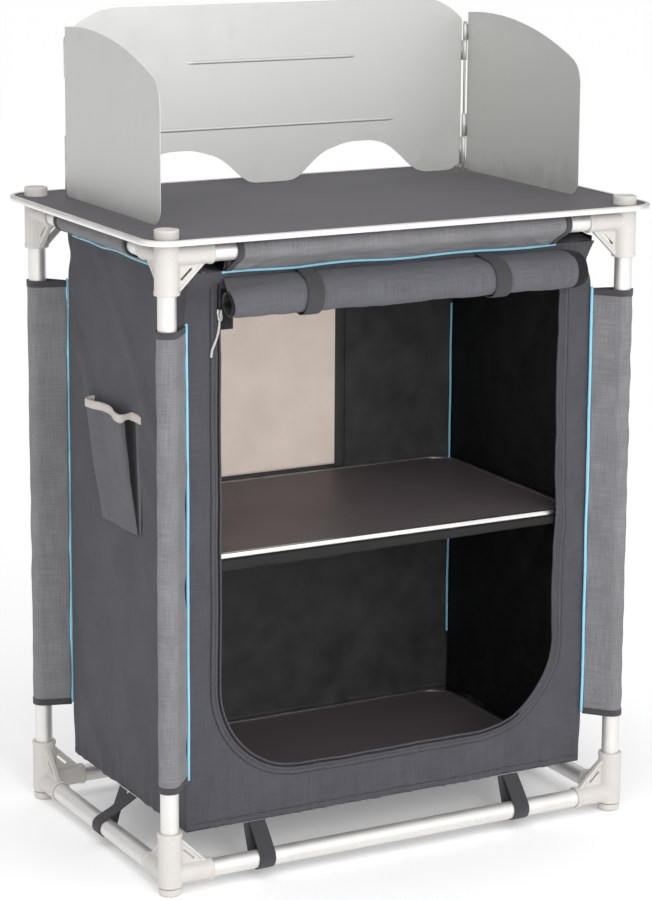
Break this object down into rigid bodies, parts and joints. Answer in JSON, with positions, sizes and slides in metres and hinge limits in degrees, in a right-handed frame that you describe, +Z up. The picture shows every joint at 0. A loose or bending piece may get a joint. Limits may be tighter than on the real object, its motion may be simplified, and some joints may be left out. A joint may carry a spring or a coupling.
{
  "type": "camp kitchen table",
  "caption": "Tube-framed camp kitchen stand: trimmed worktop with a hinged windshield over a zip-front fabric cupboard with shelves.",
  "frame": {"origin": "on the ground, midway between the four legs", "axes": "+Z up, +X to the right seen from the door side, +Y towards the windshield's back leaf"},
  "size_m": [0.734, 0.466, 1.0808],
  "materials": {
    "tube": "satin anodised",
    "connector": "moulded, fine satin",
    "foot": "moulded, matte",
    "worktop": "laminate, matte",
    "trim": "satin extrusion",
    "shelf_board": "laminate, matte",
    "windshield": "satin sheet",
    "wire": "drawn wire",
    "cabinet_fabric": "woven polyester, dark lining inside",
    "sleeve_fabric": "woven polyester with light blue piping",
    "webbing": "woven webbing",
    "window": "fine mesh",
    "slider": "satin",
    "pull_cord": "braided"
  },
  "bodies": {
    "frame": {"leg_front_left": "tube", "top_connector_front_left": "connector", "bottom_connector_front_left": "connector", "leg_sleeve_front_left": "sleeve_fabric", "leg_front_right": "tube", "top_connector_front_right": "connector", "bottom_connector_front_right": "connector", "leg_sleeve_front_right": "sleeve_fabric", "leg_back_left": "tube", "top_connector_back_left": "connector", "bottom_connector_back_left": "connector", "leg_sleeve_back_left": "sleeve_fabric", "leg_back_right": "tube", "top_connector_back_right": "connector", "bottom_connector_back_right": "connector", "leg_sleeve_back_right": "sleeve_fabric", "top_tube_front": "tube", "bottom_tube_front": "tube", "top_sleeve_front": "sleeve_fabric", "cabinet_front": "cabinet_fabric", "top_tube_back": "tube", "bottom_tube_back": "tube", "top_sleeve_back": "sleeve_fabric", "cabinet_back": "cabinet_fabric", "top_tube_left": "tube", "bottom_tube_left": "tube", "top_sleeve_left": "sleeve_fabric", "cabinet_left": "cabinet_fabric", "top_tube_right": "tube", "bottom_tube_right": "tube", "top_sleeve_right": "sleeve_fabric", "cabinet_right": "cabinet_fabric", "cabinet_floor": "cabinet_fabric", "shelf_support": "cabinet_fabric", "back_window": "window", "tie_strap_front_left": "webbing", "tie_strap_front_right": "webbing", "tie_strap_left": "webbing", "tie_strap_right": "webbing", "door_roll": "cabinet_fabric", "roll_strap_left": "webbing", "roll_strap_right": "webbing", "side_pocket": "cabinet_fabric"},
    "worktop": {"worktop_board": "worktop", "worktop_trim": "trim"},
    "windshield": {"windshield_back": "windshield", "hinge_wire_left": "wire", "hinge_wire_right": "wire"},
    "wing_left": {"windshield_left": "windshield"},
    "wing_right": {"windshield_right": "windshield"},
    "mid_shelf": {"mid_shelf_board": "shelf_board", "mid_shelf_trim": "trim"},
    "bottom_shelf": {"bottom_shelf_board": "shelf_board", "bottom_shelf_trim": "trim"},
    "zip_pull": {"zip_slider": "slider", "zip_pull_cord": "pull_cord"},
    "foot_front_left": {"foot_front_left": "foot"},
    "foot_front_right": {"foot_front_right": "foot"},
    "foot_back_left": {"foot_back_left": "foot"},
    "foot_back_right": {"foot_back_right": "foot"}
  },
  "joints": [
    {"name": "worktop_lift", "type": "slide", "parent": "frame", "child": "worktop", "axis": [0, 0, 1], "range_m": [0, 0.05]},
    {"name": "windshield_lift", "type": "slide", "parent": "worktop", "child": "windshield", "axis": [0, 0, 1], "range_m": [0, 0.03]},
    {"name": "left_wing_fold", "type": "hinge", "parent": "windshield", "child": "wing_left", "pos_m": [-0.302, 0.163, 0.9368], "axis": [0, 0, 1], "range_deg": [-20, 88]},
    {"name": "right_wing_fold", "type": "hinge", "parent": "windshield", "child": "wing_right", "pos_m": [0.302, 0.163, 0.9368], "axis": [0, 0, -1], "range_deg": [-20, 88]},
    {"name": "mid_shelf_lift", "type": "slide", "parent": "frame", "child": "mid_shelf", "axis": [0, 0, 1], "range_m": [0, 0.08]},
    {"name": "bottom_shelf_lift", "type": "slide", "parent": "frame", "child": "bottom_shelf", "axis": [0, 0, 1], "range_m": [0, 0.08]},
    {"name": "zip_slide", "type": "slide", "parent": "frame", "child": "zip_pull", "axis": [0, 0, -1], "range_m": [0, 0.45]},
    {"name": "foot_front_left_screw", "type": "slide", "parent": "frame", "child": "foot_front_left", "axis": [0, 0, -1], "range_m": [0, 0.01]},
    {"name": "foot_front_right_screw", "type": "slide", "parent": "frame", "child": "foot_front_right", "axis": [0, 0, -1], "range_m": [0, 0.01]},
    {"name": "foot_back_left_screw", "type": "slide", "parent": "frame", "child": "foot_back_left", "axis": [0, 0, -1], "range_m": [0, 0.01]},
    {"name": "foot_back_right_screw", "type": "slide", "parent": "frame", "child": "foot_back_right", "axis": [0, 0, -1], "range_m": [0, 0.01]}
  ]
}
